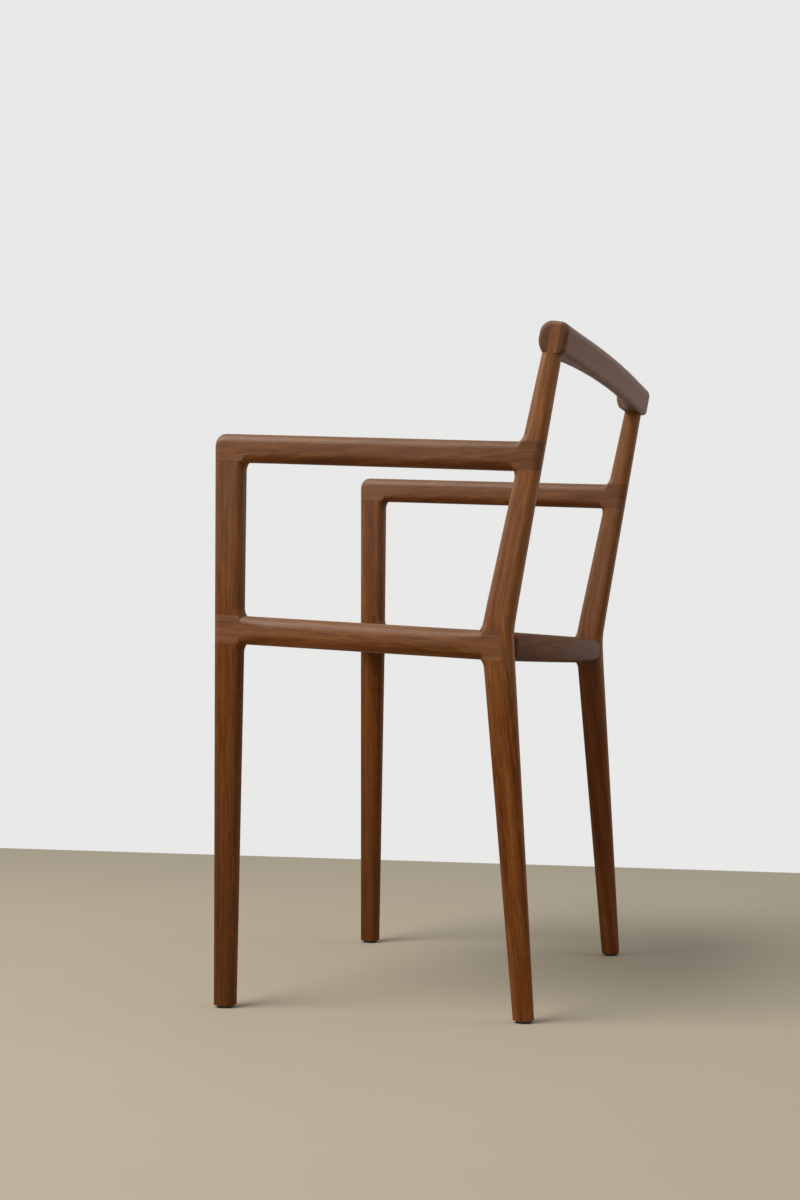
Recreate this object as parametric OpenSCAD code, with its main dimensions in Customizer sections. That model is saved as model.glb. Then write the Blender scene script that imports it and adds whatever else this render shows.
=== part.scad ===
// Armchair with an open wooden frame and a slim drop-in seat.
// Two flat side frames, each of a front leg, a bent rear leg, a side rail and an arm, stand a little
// closer together at the rear. A front rail, a bowed rear rail and a curved crest rail join them.
// The chair faces -Y, its left side is +X, and the origin is on the floor under its middle.

/* [Stance] */
// Distance between the front feet, centre to centre
front_spread = 523.4; // [460:0.2:600]
// Inward turn of each side frame towards the rear, in degrees
toe_in = 2.2; // [0:0.1:4]
// Distance from the front feet back to the rear feet
foot_reach = 350; // [320:1:400]
// How far the knee of a rear leg stands in front of its foot
knee_forward = 29; // [15:0.5:40]
// Backward rake of the rear posts, in degrees
post_rake = 11.6; // [7:0.1:15]

/* [Heights] */
// Height of the seat rails' top at the front legs
seat_height = 451.5; // [400:0.5:500]
// Fall of the seat rails towards the rear, in degrees
seat_fall = 3.67; // [0:0.01:6]
// Height of the arms' top at the front legs
arm_height = 662.5; // [620:0.5:700]
// Fall of the arms towards the rear, in degrees
arm_fall = 3.4; // [0:0.1:6]
// Height of the crest rail's underside, at the middle of the posts
crest_height = 738.5; // [710:0.5:800]

/* [Legs] */
// Thickness of the side frames
stock = 25; // [22:0.5:32]
// Thickness of the legs at the floor
foot_stock = 23; // [20:0.5:26]
// Depth of a front leg at the floor
front_foot_depth = 25; // [21:0.5:30]
// Depth of a front leg at the seat
front_seat_depth = 33; // [28:0.5:40]
// Depth of a front leg under the arm
front_arm_depth = 35; // [28:0.5:42]
// Depth of a rear leg at the floor
rear_foot_depth = 22.6; // [20:0.2:30]
// Depth of a rear leg at the knee
knee_depth = 35.4; // [32:0.2:42]
// Depth of a rear post under the crest rail
post_depth = 21.3; // [19:0.1:26]
// Radius of the legs' long edges
leg_edge = 9; // [5:0.5:10]
// Length over which the knee is eased
knee_blend = 10; // [4:1:20]
// Size of the fillets where two members meet
fillet = 3; // [1:0.5:5]

/* [Arms] */
// Height of an arm's section
arm_h = 33; // [28:0.5:40]
// Radius of an arm's long edges
arm_edge = 11; // [6:0.5:11.5]
// Radius of an arm's front end, seen from the side
arm_nose = 13; // [8:0.5:16]

/* [Seat rails] */
// Height of the seat rails' section
rail_h = 33; // [28:0.5:40]
// Radius of a side rail's outer edges
side_edge = 13; // [6:0.5:13.5]
// Radius of the rails' inner edges
inner_edge = 3; // [1:0.5:4]
// Depth of the front rail
front_rail_depth = 26; // [22:0.5:32]
// How far the front rail stands in front of the legs
front_nose = 5.5; // [2:0.5:8]
// Forward bow of the front rail
front_bow = 6; // [0:0.5:14]
// Depth of the rear rail
rear_rail_depth = 24; // [20:0.5:28]
// Rearward bow of the rear rail
rear_bow = 12; // [0:0.5:18]
// Radius of the front and rear rails' outer edges
nose_edge = 14; // [8:0.5:14]

/* [Crest rail] */
// Height of the crest rail
crest_h = 36; // [32:0.5:60]
// Depth of the crest rail at its ends
crest_end_depth = 33; // [30:0.5:38]
// Length of the full-depth ends, between which the front face is hollowed
crest_block_l = 59; // [30:1:90]
// Depth of the crest rail at its middle
crest_mid_depth = 14.5; // [11:0.5:28]
// Rearward bow of the crest rail's rear face
crest_bow = 5.5; // [0:0.5:15]
// Backward lean of the crest rail, in degrees
crest_lean = 11.1; // [7:0.1:15]
// Height over which the front face swells out from the lower edge
crest_swell_h = 15; // [6:0.5:17]
// Radius of the crest rail's front top edge
crest_front_edge = 14; // [6:0.5:14]
// Radius of the crest rail's rear top edge
crest_rear_edge = 10; // [5:0.5:12]
// Radius of the crest rail's rear lower edge
crest_low_edge = 5; // [2:0.5:7]
// Radius round the crest rail's end faces
crest_end_edge = 5; // [2:0.5:7]

/* [Joints] */
// Thickness of the side rail's laps over the legs
lap = 9; // [6:0.5:10]
// Length of the side rail's lap over the knee
knee_lap = 23; // [14:0.5:26]
// Thickness of the post's web between the cheeks of the arm
web = 8; // [5:0.5:12]
// Thickness of the post's tongue in the crest rail
tongue = 10.5; // [6:0.5:13]
// Distance of the tongue behind the middle of the post
tongue_set = 1.5; // [-2:0.5:2]
// Thickness of the tenons
tenon = 8; // [6:0.5:10]
// Width of the tenons
tenon_width = 20; // [14:0.5:24]
// Length of the front and rear rails' tenons
rail_tenon_l = 13; // [9:0.5:14]
// Length of the front legs' tenons into the arms
arm_tenon_l = 20; // [10:0.5:24]
// Space left at the end of each tenon
tenon_space = 1; // [0.5:0.1:1.5]

/* [Seat] */
// Gap all round the seat, inside the rails
seat_gap = 1.5; // [1:0.1:3]
// Radius of the seat's corners
seat_corner = 12; // [6:0.5:20]
// Thickness of the seat board
board_t = 7; // [6:0.5:12]
// Drop of the board's underside below the rails' middle
board_drop = 4; // [2:0.5:6]
// Thickness of the foam at the seat's edges
foam_edge = 7.5; // [6:0.5:14]
// Rise of the foam from its edges to its middle
foam_crown = 3.5; // [2:0.5:16]
// Width of the rounded edge of the foam
foam_roll = 12; // [6:0.5:20]
// How far the sides of the foam are drawn in
draw_in = 1.5; // [0:0.5:3]
// Thickness of the cover
cover_t = 1.2; // [0.8:0.1:2]
// Width of the cover turned in under the board
cover_turn = 20; // [12:1:22]
// Clearance round the soft pieces
soft_gap = 0.3; // [0.2:0.1:0.6]

/* [Fittings] */
// Length of a corner block's sides
block_size = 50; // [46:1:80]
// Width of a corner block's ends
block_nose = 16; // [12:1:24]
// Rise of the blocks above the rails' underside
block_rise = 1; // [0.5:0.5:3]
// Distance of a screw from the faces of both rails
screw_inset = 27; // [25:0.5:30]
// Diameter of a screw's shank
screw_d = 4; // [3:0.5:5]
// Diameter of a screw's head
screw_head = 8; // [7:0.5:9]
// Length of a screw in the board
screw_bite = 4; // [3:0.5:5]
// Diameter of a foot glide
glide_d = 18; // [12:1:20]
// Thickness of a foot glide
glide_h = 3; // [2:0.5:5]
// Diameter of a glide's pin
glide_pin_d = 3; // [2:0.5:4]
// Length of a glide's pin
glide_pin_l = 12; // [8:1:20]
// Clearance round screws and pins, over their diameter
bore_gap = 0.2; // [0.1:0.1:0.6]

/* [Hidden] */

wood = [0.46, 0.27, 0.16];
ply = [0.76, 0.62, 0.44];
linen = [0.74, 0.69, 0.60];
cream = [0.90, 0.84, 0.66];
steel = [0.62, 0.62, 0.63];
dark = [0.10, 0.09, 0.08];

// Steps in a rounded corner, in an eased run, and in half the length of a bow and of a hollow
corner_steps = 5;
run_steps = 4;
bow_steps = 5;
hollow_steps = 7;
// Radius left where an edge dies out
crisp = 0.4;
// Larger than the whole chair, for cutting
wide = 3 * crest_height;
round_fn = 48;

half = stock / 2;
front_face = -front_foot_depth / 2;
knee_s = foot_reach - knee_forward;

// Middle, top and underside of the side rails and arms, at a distance s behind the front feet
function rail_mid(s) = seat_height - rail_h / 2 - s * tan(seat_fall);
function rail_high(s) = rail_mid(s) + rail_h / 2;
function rail_low(s) = rail_mid(s) - rail_h / 2;
function arm_mid(s) = arm_height - arm_h / 2 - s * tan(arm_fall);
function arm_high(s) = arm_mid(s) + arm_h / 2;
function arm_low(s) = arm_mid(s) - arm_h / 2;

// A straight run from v0 at z0 to v1 at z1
function run(z, z0, v0, z1, v1) = v0 + (v1 - v0) * (z - z0) / (z1 - z0);
// Zero below 0 and x above it, eased over the knee
function ease(x) = (x + sqrt(x * x + knee_blend * knee_blend)) / 2;
// Fillet beside a joint, at a distance d from it, with steps that crowd towards the joint
fillet_slope = 3;
fillet_crowding = 1.3;
fillet_run = fillet_slope * fillet;
function flare(d) = fillet * pow(max(0, 1 - max(0, d) / fillet_run), 2);
fillet_steps = [for (i = [0:run_steps]) fillet_run * pow(i / run_steps, fillet_crowding)];

// Half thickness of the legs at a height z
leg_full_z = rail_low(0);
function leg_half(z) = z < leg_full_z ? run(z, 0, foot_stock / 2, leg_full_z, half) : half;

// Rear face of the front leg, first without and then with its fillets
arm_joint_z = arm_low(front_arm_depth + front_face);
function front_back_line(z) = front_face + (z < rail_mid(0)
    ? run(z, 0, front_foot_depth, rail_mid(0), front_seat_depth)
    : run(z, rail_mid(0), front_seat_depth, arm_joint_z, front_arm_depth));
front_shoulder = front_back_line(rail_mid(0));
rail_low_front = rail_low(front_shoulder);
rail_high_front = rail_high(front_shoulder);
function front_back(z) = front_back_line(z)
    + (z < rail_mid(0) ? flare(rail_low_front - z)
    : flare(z - rail_high_front) + flare(arm_joint_z - z));

// Middle and depth of the rear leg, bent at the knee
knee_z = rail_high(knee_s);
low_slope = knee_forward / knee_z;
low_taper = (knee_depth - rear_foot_depth) / knee_z;
high_taper = (knee_depth - post_depth) / (crest_height - knee_z);
function rear_mid(z) = foot_reach - low_slope * z + (low_slope + tan(post_rake)) * ease(z - knee_z);
function rear_depth(z) = rear_foot_depth + low_taper * z - (low_taper + high_taper) * ease(z - knee_z);
function rear_front_line(z) = rear_mid(z) - rear_depth(z) / 2;
function rear_back(z) = rear_mid(z) + rear_depth(z) / 2;
rear_shoulder = rear_front_line(rail_mid(knee_s));
rail_low_rear = rail_low(rear_shoulder);
rail_high_rear = rail_high(rear_shoulder);
post_z = arm_mid(rear_front_line(arm_mid(knee_s)));
post_s = rear_front_line(post_z);
arm_low_rear = arm_low(post_s);
arm_high_rear = arm_high(post_s);
function rear_front(z) = rear_front_line(z)
    - (z < rail_mid(knee_s) ? flare(rail_low_rear - z)
    : z < post_z ? flare(z - rail_high_rear) + flare(arm_low_rear - z)
    : flare(z - arm_high_rear));
post_lean = atan((rear_front_line(arm_high_rear) - rear_front_line(arm_low_rear)) / arm_h);

// Rounded corner and rounded rectangle, anticlockwise, with its radii from the far right corner on
function corner(x, y, r, start) = [for (i = [0:corner_steps])
    let (a = start + 90 * i / corner_steps) [x + r * cos(a), y + r * sin(a)]];
function between(a, b, n) = n < 2 ? [] : [for (i = [1:n - 1]) a + (b - a) * i / n];
function outline(x0, x1, y0, y1, r, side_steps = 1) = let (
    c = [corner(x1 - r[0], y1 - r[0], r[0], 0), corner(x0 + r[1], y1 - r[1], r[1], 90),
        corner(x0 + r[2], y0 + r[2], r[2], 180), corner(x1 - r[3], y0 + r[3], r[3], 270)])
    [for (k = [0:3]) for (p = concat(c[k], between(c[k][corner_steps], c[(k + 1) % 4][0], side_steps))) p];

// An outline laid level at z, set upright across the side frame at s, or upright across the chair at x
function level_ring(o, z) = [for (p = o) [p[0], p[1], z]];
function frame_ring(o, s) = [for (i = [len(o) - 1:-1:0]) [o[i][0], s, o[i][1]]];
function cross_ring(o, x) = [for (p = o) [x, p[0], p[1]]];

// Skin over a row of rings that have equally many points
module loft(rings) {
    n = len(rings[0]);
    m = len(rings);
    first_cap = [[for (i = [0:n - 1]) i]];
    last_cap = [[for (i = [n - 1:-1:0]) (m - 1) * n + i]];
    sides = [for (k = [0:m - 2]) for (i = [0:n - 1]) let (j = (i + 1) % n, a = k * n, b = a + n)
        for (face = [[a + i, b + i, b + j], [a + i, b + j, a + j]]) face];
    polyhedron([for (ring = rings) for (p = ring) p], concat(first_cap, sides, last_cap));
}

// Stations from one end to the other, with extra ones near each end
function stations(reach, ends, n) = let (m = len(ends) - 1, inner = reach - ends[m]) concat(
    [for (e = ends) e - reach],
    [for (i = [1:2 * n - 1]) inner * (i / n - 1)],
    [for (i = [m:-1:0]) reach - ends[i]]);
// Inset of a rounded end, at a distance e from it
function end_inset(e, r) = e >= r ? 0 : r - sqrt(max(0, r * r - pow(r - max(0, e), 2)));
function end_steps(r) = [for (i = [0:run_steps]) r * (1 - cos(90 * i / run_steps))];

// Blanks of the legs
function leg_ring(z, front, back) = let (
    h = leg_half(z), r = min(leg_edge, h - crisp, (back - front) / 2 - crisp))
    level_ring(outline(-h, h, front, back, [r, r, r, r]), z);
front_levels = concat([glide_h],
    [for (i = [run_steps:-1:0]) rail_low_front - fillet_steps[i]],
    [for (d = fillet_steps) rail_high_front + d],
    [for (i = [run_steps:-1:0]) arm_joint_z - fillet_steps[i]],
    [arm_height]);
rear_levels = concat([glide_h],
    [for (i = [run_steps:-1:0]) rail_low_rear - fillet_steps[i]],
    [for (i = [1:run_steps - 1]) rail_low_rear + rail_h * i / run_steps],
    [for (d = fillet_steps) rail_high_rear + d],
    [rail_high_rear + rail_h],
    [for (i = [run_steps:-1:0]) arm_low_rear - fillet_steps[i]],
    [for (d = fillet_steps) arm_high_rear + d],
    [crest_height + crest_h]);
// The levels just round a joint, where another piece meets the leg
function near(levels, low, high) = [for (z = levels)
    if (z > low - fillet_run / 2 && z < high + fillet_run / 2) z];

module front_leg_blank(levels = front_levels) {
    loft([for (z = levels) leg_ring(z, front_face, front_back(z))]);
}

module rear_leg_blank(levels = rear_levels) {
    loft([for (z = levels) leg_ring(z, rear_front(z), rear_back(z))]);
}

module front_leg_at_rail() front_leg_blank(near(front_levels, rail_low_front, rail_high_front));

module rear_leg_at_rail() rear_leg_blank(near(rear_levels, rail_low_rear, rail_high_rear));

module rear_leg_at_arm() rear_leg_blank(near(rear_levels, arm_low_rear, arm_high_rear));

// Radius of a rail's or arm's edge, which dies out over the rounded edge of the leg that it meets
growth = 0.12;
function edge_at(d, full) = min(full, max(crisp, d <= 0 ? 0
    : d < leg_edge ? leg_edge - sqrt(leg_edge * leg_edge - d * d)
    : leg_edge + (d - leg_edge) * growth));
edge_steps = [for (i = [0:run_steps]) leg_edge * sin(90 * i / run_steps)];
full_run = leg_edge + max(0, max(arm_edge, side_edge) - leg_edge) / growth;

// Blank of the side rail, ending inside both legs
rail_start = front_shoulder - leg_edge;
rail_stop = rear_shoulder + leg_edge;
rail_stations = concat([rail_start - fillet],
    [for (d = edge_steps) rail_start + d],
    [rail_start + full_run, rail_stop - full_run],
    [for (i = [run_steps:-1:0]) rail_stop - edge_steps[i]],
    [rail_stop + fillet]);
module side_rail_blank() {
    loft([for (s = rail_stations) let (
        d = min(s - rail_start, rail_stop - s),
        outer = edge_at(d, side_edge),
        inner = min(inner_edge, max(crisp, (d - leg_edge) * growth)))
        frame_ring(outline(-half, half, rail_low(s), rail_high(s), [outer, inner, inner, outer]), s)]);
}

// Blank of the arm, from its rounded front end to the inside of the post
arm_start = front_back(arm_joint_z) - leg_edge;
arm_stop_low = rear_front(arm_low_rear) + leg_edge;
arm_stop_high = rear_front(arm_high_rear) + leg_edge;
arm_end_start = arm_stop_low - leg_edge - fillet;
arm_end_steps = 2 * run_steps + 1;
arm_stations = concat(
    [for (i = [0:corner_steps]) front_face + arm_nose * (1 - cos(90 * i / corner_steps))],
    [for (d = edge_steps) max(arm_start, front_face + arm_nose + crisp) + d],
    [arm_start + full_run, arm_end_start - full_run],
    [for (i = [0:arm_end_steps]) arm_end_start + (arm_stop_high - arm_end_start) * i / arm_end_steps]);
module arm_blank() {
    loft([for (s = arm_stations) let (
        e = s - front_face,
        h = half - end_inset(e, leg_edge),
        z = arm_high(s) - end_inset(e, arm_nose),
        top = min(h - crisp, edge_at(arm_stop_high - s, arm_edge)),
        low = min(h - crisp, edge_at(min(s - arm_start, arm_stop_low - s), arm_edge)))
        frame_ring(outline(-h, h, arm_low(s), z, [top, top, low, low]), s)]);
}

// Everything between the planes of a rail's or arm's underside and top
module band(mid, height, fall) {
    translate([0, 0, mid])
        rotate([-fall, 0, 0])
            cube([wide, wide, height * cos(fall)], center = true);
}

module rail_band() band(rail_mid(0), rail_h, seat_fall);

module arm_band() band(arm_mid(0), arm_h, arm_fall);

// The part of the side frame, at the rail's height, that is cut from the side rail's wood
module side_rail_zone() {
    intersection() {
        rail_band();
        union() {
            translate([-wide / 2, front_shoulder, 0])
                cube([wide, rear_shoulder - front_shoulder, wide]);
            translate([half - lap, -wide / 2, 0])
                cube([wide, wide / 2 + rear_shoulder + knee_lap, wide]);
        }
    }
}

// The post's web, leaned with the post's front face
module web_zone() {
    translate([0, post_s, post_z])
        rotate([-post_lean, 0, 0])
            translate([-web / 2, 0, -wide / 2])
                cube([web, wide, wide]);
}

// The part of the side frame, at the arm's height, that is cut from the arm's wood
module arm_zone() {
    difference() {
        arm_band();
        web_zone();
    }
}

// The front leg's tenon into the arm, which starts inside the leg
arm_tenon_s = (front_face + front_back_line(arm_joint_z)) / 2;
module arm_tenon(space) {
    translate([-tenon / 2, arm_tenon_s - tenon_width / 2, arm_low(0) - arm_tenon_l])
        cube([tenon, tenon_width, 2 * arm_tenon_l + space]);
}

// Places of the side frames and of the tilted seat in the chair
function max_y(points) = max([for (p = points) p[1]]);
function min_y(points) = min([for (p = points) p[1]]);

module left_frame() {
    translate([front_spread / 2, front_axis_y, 0])
        rotate([0, 0, toe_in])
            children();
}

module seat_frame() {
    translate([0, front_axis_y, rail_mid(0)])
        rotate([-seat_fall, 0, 0])
            children();
}

module right_side() {
    mirror([1, 0, 0])
        children();
}

// Half width inside the side frames, and the half height of the rails, square to the seat
function inner_half(v) = front_spread / 2 - half / cos(toe_in) - v * cos(seat_fall) * tan(toe_in);
rail_half = rail_h * cos(seat_fall) / 2;
function bulge(x, reach) = 1 - pow(x / reach, 2);

// Front and rear rails, whose rounded ends curve in to meet the legs
end_run = 8;
end_drop = 9;
end_dip = 5;
function rail_end(e) = e >= end_run ? 0
    : e >= 0 ? end_drop * (1 - sqrt(1 - pow(1 - e / end_run, 2)))
    : end_drop - e;
rail_ends = concat([-end_dip], end_steps(end_run));

front_rail_front = front_face - front_nose;
front_rail_back = front_rail_front + front_rail_depth;
front_reach = inner_half(front_face);
function nose_radius(depth) = min(nose_edge, rail_half - crisp, depth - inner_edge - crisp);
function front_rail_ring(x) = let (
    b = front_bow * bulge(x, front_reach),
    drop = rail_end(front_reach - abs(x)),
    r = nose_radius(front_rail_depth - drop))
    cross_ring(outline(front_rail_front - b + drop, front_rail_back - b,
        -rail_half, rail_half, [inner_edge, r, r, inner_edge]), x);

rear_rail_back = rear_back(rail_mid(knee_s)) / cos(seat_fall);
rear_rail_front = rear_rail_back - rear_rail_depth;
rear_reach = inner_half(rear_rail_back);
function rear_rail_ring(x) = let (
    b = rear_bow * bulge(x, rear_reach),
    drop = rail_end(rear_reach - abs(x)),
    r = nose_radius(rear_rail_depth - drop))
    cross_ring(outline(rear_rail_front + b, rear_rail_back + b - drop,
        -rail_half, rail_half, [r, inner_edge, inner_edge, r]), x);

front_stations = stations(front_reach, rail_ends, bow_steps);
rear_stations = stations(rear_reach, rail_ends, bow_steps);

module front_rail_blank() {
    loft([for (x = front_stations) front_rail_ring(x)]);
}

module rear_rail_blank() {
    loft([for (x = rear_stations) rear_rail_ring(x)]);
}

// Everything in front of the front rail's inner face, and behind the rear rail's
module before_front_rail() {
    inner_face = [for (x = front_stations) [x, front_rail_back - front_bow * bulge(x, front_reach)]];
    linear_extrude(rail_h, center = true)
        polygon(concat(inner_face, [[front_reach, -wide], [-front_reach, -wide]]));
}

module behind_rear_rail() {
    inner_face = [for (x = rear_stations) [x, rear_rail_front + rear_bow * bulge(x, rear_reach)]];
    linear_extrude(rail_h, center = true)
        polygon(concat(inner_face, [[rear_reach, wide], [-rear_reach, wide]]));
}

// Tenons at both ends of a rail, each rooted as deep in the rail as it reaches into the leg
module rail_tenons(v, reach, space) {
    for (side = [-1, 1])
        translate([side * reach, v, 0])
            cube([2 * (rail_tenon_l + space), tenon, tenon_width], center = true);
}

front_tenon_v = front_rail_back - inner_edge - tenon;
rear_tenon_v = rear_rail_front + inner_edge + tenon;

module front_tenons(space = 0) rail_tenons(front_tenon_v, front_reach, space);

module rear_tenons(space = 0) rail_tenons(rear_tenon_v, rear_reach, space);

// Crest rail, leaned back, with its front face hollowed to a half ellipse between full-depth ends.
// Over the posts its lower edges are flush with them. Its end rings lie in the side frames' outer planes.
crest_s = rear_mid(crest_height);
crest_reach = front_spread / 2 + half / cos(toe_in) - crest_s * tan(toe_in);
hollow_reach = crest_reach - crest_block_l;
hollow_depth = crest_end_depth + crest_bow - crest_mid_depth;
overhang = (crest_end_depth - post_depth) / 2;
low_edge = min(crest_low_edge, overhang);
function hollow(x) = hollow_depth * sqrt(max(0, bulge(x, hollow_reach)));
function ellipse_corner(x, y, w, h, start) = [for (p = corner(0, 0, 1, start)) [x + w * p[0], y + h * p[1]]];
function crest_ring(x) = let (
    inset = end_inset(crest_reach - abs(x), crest_end_edge),
    high = crest_h - inset,
    front = inset - crest_end_depth / 2 + hollow(x),
    rear = crest_end_depth / 2 - inset + crest_bow * bulge(x, crest_reach),
    share = min(1, (rear - front - crisp) / (crest_front_edge + crest_rear_edge)),
    front_w = share * crest_front_edge,
    rear_w = share * crest_rear_edge,
    swell_w = min(overhang, rear - low_edge - crisp - front),
    swell_h = min(crest_swell_h, high - crest_front_edge - crisp),
    o = concat(
        ellipse_corner(rear - rear_w, high - crest_rear_edge, rear_w, crest_rear_edge, 0),
        ellipse_corner(front + front_w, high - crest_front_edge, front_w, crest_front_edge, 90),
        [for (i = [0:corner_steps]) let (t = i / corner_steps) [front + swell_w * t * t, swell_h * (1 - t)]],
        corner(rear - low_edge, low_edge, low_edge, 270)))
    [for (p = o) let (y = p[0] * cos(crest_lean) + p[1] * sin(crest_lean))
        [x - y * x / crest_reach * tan(toe_in), crest_s + y,
        crest_height - p[0] * sin(crest_lean) + p[1] * cos(crest_lean)]];
crest_side = [for (e = end_steps(crest_end_edge)) crest_reach - e];
crest_stations = concat(-crest_side,
    [for (i = [-hollow_steps:hollow_steps]) hollow_reach * sin(90 * i / hollow_steps)],
    [for (i = [run_steps:-1:0]) crest_side[i]]);

module crest_blank(from = -wide) {
    translate([0, front_axis_y, 0])
        loft([for (x = crest_stations)
            if (x > from) crest_ring(x)]);
}

// Everything that stands higher over the crest rail's underside than a rise
module over_posts(rise) {
    translate([0, front_axis_y + crest_s, crest_height])
        rotate([-crest_lean, 0, 0])
            translate([-wide / 2, -wide / 2, rise])
                cube(wide);
}

// Slot for the post's tongue, open at the end and the top of the crest rail
module tongue_zone() {
    translate([-half, crest_s, crest_height])
        rotate([-crest_lean, 0, 0])
            translate([0, tongue_set - tongue / 2, -tongue])
                cube([wide, tongue, wide]);
}

module tongue() {
    intersection() {
        crest_blank(crest_reach / 2);
        left_frame()
            tongue_zone();
    }
}

// The middle of the chair's length is at the origin
chair_front = min_y([for (p = front_rail_ring(0)) [0, p[1] * cos(seat_fall) + p[2] * sin(seat_fall)]]);
chair_rear = max_y(crest_ring(0));
front_axis_y = -(chair_front + chair_rear) / 2;

// Glides under the feet
module glide_places() {
    for (s = [0, foot_reach])
        translate([0, s, 0])
            children();
}

module glide_bores() {
    glide_places()
        cylinder(d = glide_pin_d + bore_gap, h = glide_h + glide_pin_l + tenon_space, $fn = round_fn);
}

// Inner corner of a leg, left square where the side rail butts against it
module squared_corner(s) {
    intersection() {
        rail_band();
        translate([-half, s, 0])
            cube([half, leg_edge, wide]);
    }
}

module front_leg() {
    difference() {
        union() {
            difference() {
                left_frame()
                    union() {
                        front_leg_blank();
                        squared_corner(front_shoulder - leg_edge);
                    }
                left_frame()
                    side_rail_zone();
                left_frame()
                    translate([0, 0, arm_low(0)])
                        rotate([-arm_fall, 0, 0])
                            translate([-wide / 2, -wide / 2, 0])
                                cube([wide, wide, wide]);
            }
            left_frame()
                arm_tenon(0);
        }
        seat_frame()
            front_tenons(tenon_space);
        left_frame()
            glide_bores();
    }
}

module rear_leg() {
    difference() {
        union() {
            difference() {
                left_frame()
                    union() {
                        rear_leg_blank();
                        squared_corner(rear_shoulder);
                    }
                left_frame()
                    side_rail_zone();
                left_frame()
                    arm_zone();
                over_posts(tongue);
                difference() {
                    over_posts(0);
                    left_frame()
                        tongue_zone();
                }
            }
            tongue();
        }
        seat_frame()
            rear_tenons(tenon_space);
        left_frame()
            glide_bores();
    }
}

module side_rail() {
    left_frame()
        intersection() {
            union() {
                front_leg_at_rail();
                side_rail_blank();
                rear_leg_at_rail();
            }
            side_rail_zone();
        }
}

module arm() {
    left_frame()
        difference() {
            intersection() {
                union() {
                    arm_blank();
                    rear_leg_at_arm();
                }
                arm_band();
            }
            web_zone();
            arm_tenon(tenon_space);
        }
}

// Corner blocks, screwed up into the board
screw_front_v = front_rail_back + screw_inset;
screw_rear_v = rear_rail_front - screw_inset;
block_top = -board_drop - cover_t;
block_low = -rail_half + block_rise;

module screw_places() {
    for (v = [screw_front_v, screw_rear_v])
        translate([inner_half(v) - screw_inset, v, block_low])
            children();
}

module screw_shape(gap, length) {
    head_h = (screw_head - screw_d) / 2;
    cylinder(d1 = screw_head, d2 = screw_d, h = head_h, $fn = round_fn);
    cylinder(d = screw_d + gap, h = length, $fn = round_fn);
}

module block_outline(x, v, turn) {
    margin = block_nose;
    translate([x, v])
        scale([1, turn])
            polygon([[margin, -margin], [margin, block_size], [-block_nose, block_size],
                [-block_size, block_nose], [-block_size, -margin]]);
}

module corner_block(v, turn) {
    difference() {
        seat_frame()
            translate([0, 0, block_low])
                linear_extrude(block_top - block_low)
                    block_outline(inner_half(v), v, turn);
        left_frame()
            translate([-half, -wide / 2, 0])
                cube(wide);
        seat_frame() {
            children();
            screw_places()
                screw_shape(2 * bore_gap, block_top - block_low + tenon_space);
        }
    }
}

module front_block() {
    corner_block(front_rail_back, 1)
        before_front_rail();
}

module rear_block() {
    corner_block(rear_rail_front, -1)
        behind_rear_rail();
}

// Outline of the seat at a height w, drawn in from the rails by shrink and at its sides by draw
seat_side_steps = 5;
seat_v0 = front_rail_back + seat_gap;
seat_v1 = rear_rail_front - seat_gap;
seat_mid_v = (seat_v0 + seat_v1) / 2;
seat_mid_x = inner_half(seat_mid_v) - seat_gap;
function seat_point(p, draw) = let (
    back_share = (p[1] - seat_v0) / (seat_v1 - seat_v0),
    b = bulge(p[0], seat_mid_x),
    side = inner_half(p[1]) - seat_gap - draw * bulge(2 * back_share - 1, 1))
    [p[0] * side / seat_mid_x, p[1] - front_bow * b * (1 - back_share) + rear_bow * b * back_share];
function seat_outline(shrink, draw) = let (r = max(crisp, seat_corner - shrink / 2)) [
    for (p = outline(shrink - seat_mid_x, seat_mid_x - shrink, seat_v0 + shrink, seat_v1 - shrink,
        [r, r, r, r], seat_side_steps)) seat_point(p, draw)];

// Rounded and crowned skin of the seat, from its floor to its crown, inset from the outermost one
rim_w = board_t - board_drop + foam_edge + soft_gap + cover_t;
crown_w = rim_w + foam_crown;
straight_side = 1;
roll_h = foam_edge - straight_side;
roll_angles = [for (i = [0:run_steps]) 90 * i / run_steps];
dome_steps = 5;
dome_scales = [for (i = [dome_steps - 1:-1:1]) i / dome_steps];
function toward(points, centre, share) = [for (p = points) centre + (p - centre) * share];
function seat_rings(inset, floor_w) = let (
    rim = seat_outline(inset + foam_roll, draw_in),
    side = seat_outline(inset, 0),
    board_top = board_t - board_drop,
    centre = [0, seat_mid_v],
    dome_h = crown_w - rim_w) concat(
    [level_ring(side, floor_w)],
    floor_w < board_top ? [level_ring(side, board_top)] : [],
    [for (a = roll_angles)
        level_ring(seat_outline(inset + foam_roll * (1 - cos(a)), draw_in * sin(max(a, roll_angles[1]))),
            rim_w - inset - roll_h * (1 - sin(a)))],
    [for (f = dome_scales) level_ring(toward(rim, centre, f), rim_w - inset + dome_h * (1 - f * f))]);

module left_front_leg() {
    color(wood)
        front_leg();
}

module right_front_leg() {
    color(wood)
        right_side()
            front_leg();
}

module left_rear_leg() {
    color(wood)
        rear_leg();
}

module right_rear_leg() {
    color(wood)
        right_side()
            rear_leg();
}

module left_side_rail() {
    color(wood)
        side_rail();
}

module right_side_rail() {
    color(wood)
        right_side()
            side_rail();
}

module left_arm() {
    color(wood)
        arm();
}

module right_arm() {
    color(wood)
        right_side()
            arm();
}

module front_rail() {
    color(wood)
        union() {
            difference() {
                seat_frame()
                    front_rail_blank();
                left_frame()
                    front_leg_at_rail();
                right_side()
                    left_frame()
                        front_leg_at_rail();
            }
            seat_frame()
                front_tenons();
        }
}

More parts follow.
